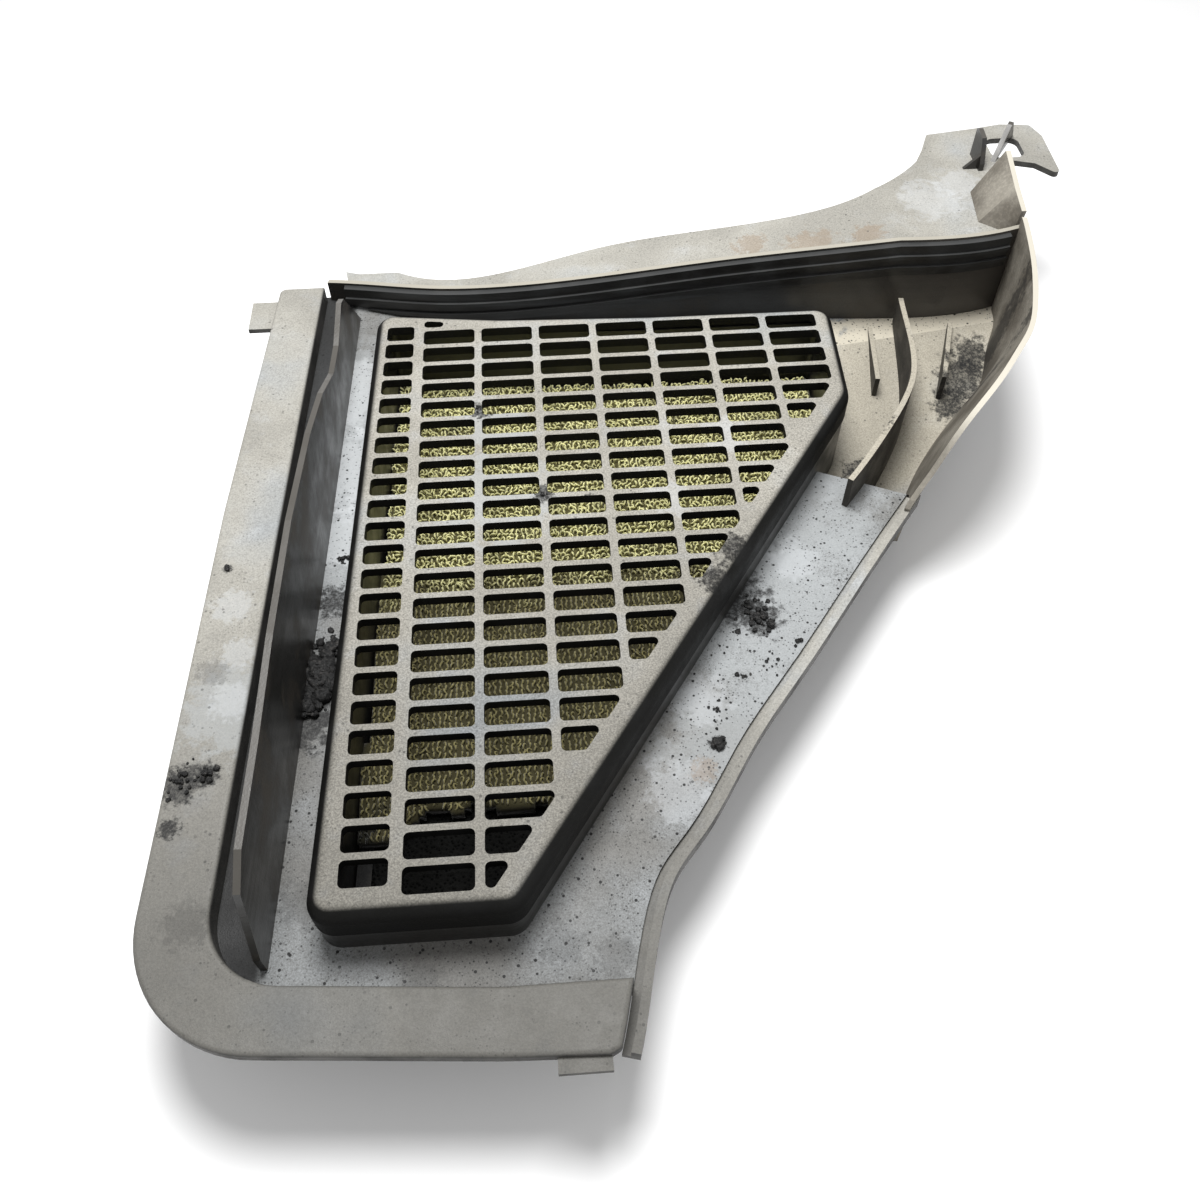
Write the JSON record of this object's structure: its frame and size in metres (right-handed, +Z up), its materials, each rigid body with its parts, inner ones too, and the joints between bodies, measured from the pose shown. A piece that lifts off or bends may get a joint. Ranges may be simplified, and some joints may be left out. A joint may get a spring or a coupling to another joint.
{
  "type": "air filter housing",
  "caption": "Moulded bulkhead panel with a duct through it, a slotted lift-off grille cover over a fleece filter cassette, a raised rear wall with seal, and a finned recess.",
  "frame": {"origin": "middle of the part's own box, on its lowest face, the underside of the rest gasket", "axes": "+X along the slot rows, +Y from the front edge to the rear wall, +Z up out of the grille"},
  "size_m": [0.344, 0.379, 0.086],
  "materials": {
    "deck": "cool grey moulded plastic, dusty and speckled with soot",
    "flange": "warm grey moulded plastic, dusty",
    "rim": "brown-grey moulded plastic, grimy inside, pale worn edge",
    "dark_plastic": "moulded plastic stained dark by oil",
    "collar": "black moulded plastic",
    "grille": "grey moulded plastic with rounded slot edges",
    "seal": "black seal strip, oily sheen",
    "gasket": "black sponge rubber",
    "foam": "black open-cell filter foam",
    "fleece": "yellow-olive looped filter fleece, sooty"
  },
  "bodies": {
    "panel": {"deck_plate": "deck", "recess_floor": "deck", "drop_riser": "dark_plastic", "side_rim": "rim", "rim_gusset": "rim", "border_flange": "flange", "edge_lip": "flange", "side_tab": "flange", "front_tab": "flange", "rear_wall": "dark_plastic", "rear_shelf": "flange", "shelf_ribs": "dark_plastic", "bulkhead_seal": "seal", "left_baffle": "dark_plastic", "long_vane": "deck", "short_rib_inner": "deck", "short_rib_outer": "deck", "ear_fins": "dark_plastic", "duct_collar": "collar", "rest_gasket": "gasket", "under_ribs": "deck"},
    "cover": {"grille_cover": "grille"},
    "filter": {"filter_frame": "collar", "filter_gasket": "gasket", "backing_grid": "collar", "foam_pad": "foam", "fleece_mat": "fleece"}
  },
  "joints": [
    {"name": "cover_lift", "type": "slide", "parent": "panel", "child": "cover", "axis": [0, 0, 1], "range_m": [0, 0.07]},
    {"name": "filter_lift", "type": "slide", "parent": "panel", "child": "filter", "axis": [0, 0, 1], "range_m": [0, 0.042]}
  ],
  "couplings": [
    {"joint": "filter_lift", "follows": "cover_lift", "ratio": 0.6}
  ]
}
